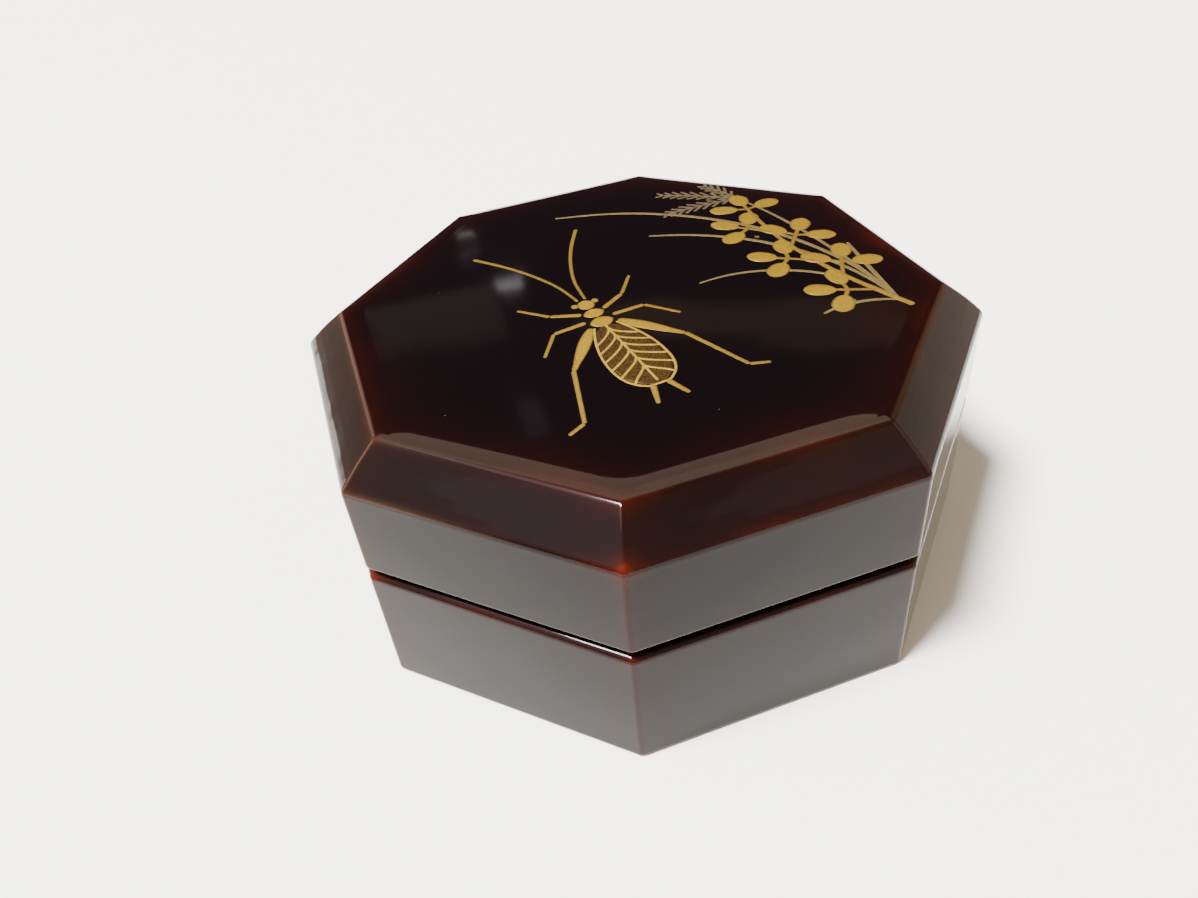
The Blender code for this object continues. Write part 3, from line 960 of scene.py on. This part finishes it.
def plume_tree():
    """A tree that sets slanted barbs on both sides of each spine and paints them with the brush."""
    tree = bpy.data.node_groups.new("plume", "GeometryNodeTree")
    for label, kind, value in (
            ("Spines", "NodeSocketGeometry", None), ("Barb spacing", "NodeSocketFloat", BARB_SPACING),
            ("Barb length", "NodeSocketFloat", BARB_LENGTH),
            ("Barb width", "NodeSocketFloat", BARB_WIDTH),
            ("Barb angle", "NodeSocketFloat", BARB_ANGLE), ("Lid", "NodeSocketObject", None),
            ("Coat", "NodeSocketFloat", FULL_COAT), ("Powder", "NodeSocketMaterial", None)):
        socket = tree.interface.new_socket(label, in_out="INPUT", socket_type=kind)
        if value is not None:
            socket.default_value = value
    tree.interface.new_socket("Picture", in_out="OUTPUT", socket_type="NodeSocketGeometry")
    given = add(tree, "NodeGroupInput").outputs

    flowing = add(tree, "GeometryNodeCurveSplineType", {"Curve": given["Spines"]},
                  spline_type="CATMULL_ROM")
    share = add(tree, "GeometryNodeSplineParameter").outputs["Factor"]
    kept = add(tree, "GeometryNodeStoreNamedAttribute",
               {"Geometry": flowing, "Name": "share", "Value": share}, data_type="FLOAT")
    along = add(tree, "GeometryNodeCurveToPoints",
                {"Curve": kept, "Length": given["Barb spacing"]}, mode="LENGTH")
    heading = add(tree, "ShaderNodeSeparateXYZ", {"Vector": along.outputs["Tangent"]}).outputs
    turn = add(tree, "ARCTAN2", (heading["Y"], heading["X"]))
    share = add(tree, "GeometryNodeInputNamedAttribute", {"Name": "share"},
                data_type="FLOAT").outputs["Attribute"]
    swell = add(tree, "SINE", (add(tree, "MULTIPLY", (share, math.pi)),))
    fullness = add(tree, "MULTIPLY_ADD", (swell, PLUME_SWELL, PLUME_LEAST))
    reach = add(tree, "ShaderNodeCombineXYZ", {"X": given["Barb length"]})
    barb = add(tree, "GeometryNodeCurvePrimitiveLine", {"End": reach})
    sides = []
    for side in (1, -1):
        slant = add(tree, "MULTIPLY_ADD", (given["Barb angle"], side, turn))
        rotation = add(tree, "ShaderNodeCombineXYZ", {"Z": slant})
        sides.append(add(tree, "GeometryNodeInstanceOnPoints",
                         {"Points": along, "Instance": barb, "Rotation": rotation, "Scale": fullness}))
    joined = add(tree, "GeometryNodeJoinGeometry")
    for branch in sides:
        tree.links.new(branch.outputs[0], joined.inputs[0])
    barbs = add(tree, "GeometryNodeRealizeInstances", {"Geometry": joined})
    thick = add(tree, "GeometryNodeSetCurveRadius", {"Curve": barbs, "Radius": given["Barb width"]})
    whole = add(tree, "GeometryNodeJoinGeometry")
    for branch in (thick.outputs[0], given["Spines"]):
        tree.links.new(branch, whole.inputs[0])
    painted = add(tree, "GeometryNodeGroup", node_tree=brush)
    for socket, value in (("Strokes", whole.outputs[0]), ("Lid", given["Lid"]),
                          ("Coat", given["Coat"]), ("Powder", given["Powder"])):
        tree.links.new(value, painted.inputs[socket])
    add(tree, "NodeGroupOutput", {"Picture": painted.outputs["Picture"]})
    return tree


silver = metal_powder("sprinkled_silver_powder", "#6a604a", "#6d644e", 0.5, 0.12)
plume_root = bent_path(BLADE_ROOT, *PLUME_STALK[:3])[-1]
spines = [[(*place, SPINE_WIDTH) for place in bent_path(plume_root, heading, PLUME_DROOP, length)]
          for heading, length in PLUMES]
picture_piece("makie_silver_plumes", spines, plume_tree(), silver, THIN_COAT)
dew = []
for blade, step in DEW:
    drop = bent_path(BLADE_ROOT, *BLADES[blade][:3])[step] + DEW_OFF_BLADE
    dew.append([(drop.x - DEW_RADIUS, drop.y, DEW_RADIUS), (drop.x + DEW_RADIUS, drop.y, DEW_RADIUS)])
picture_piece("makie_silver_dew", dew, brush, silver, FULL_COAT)
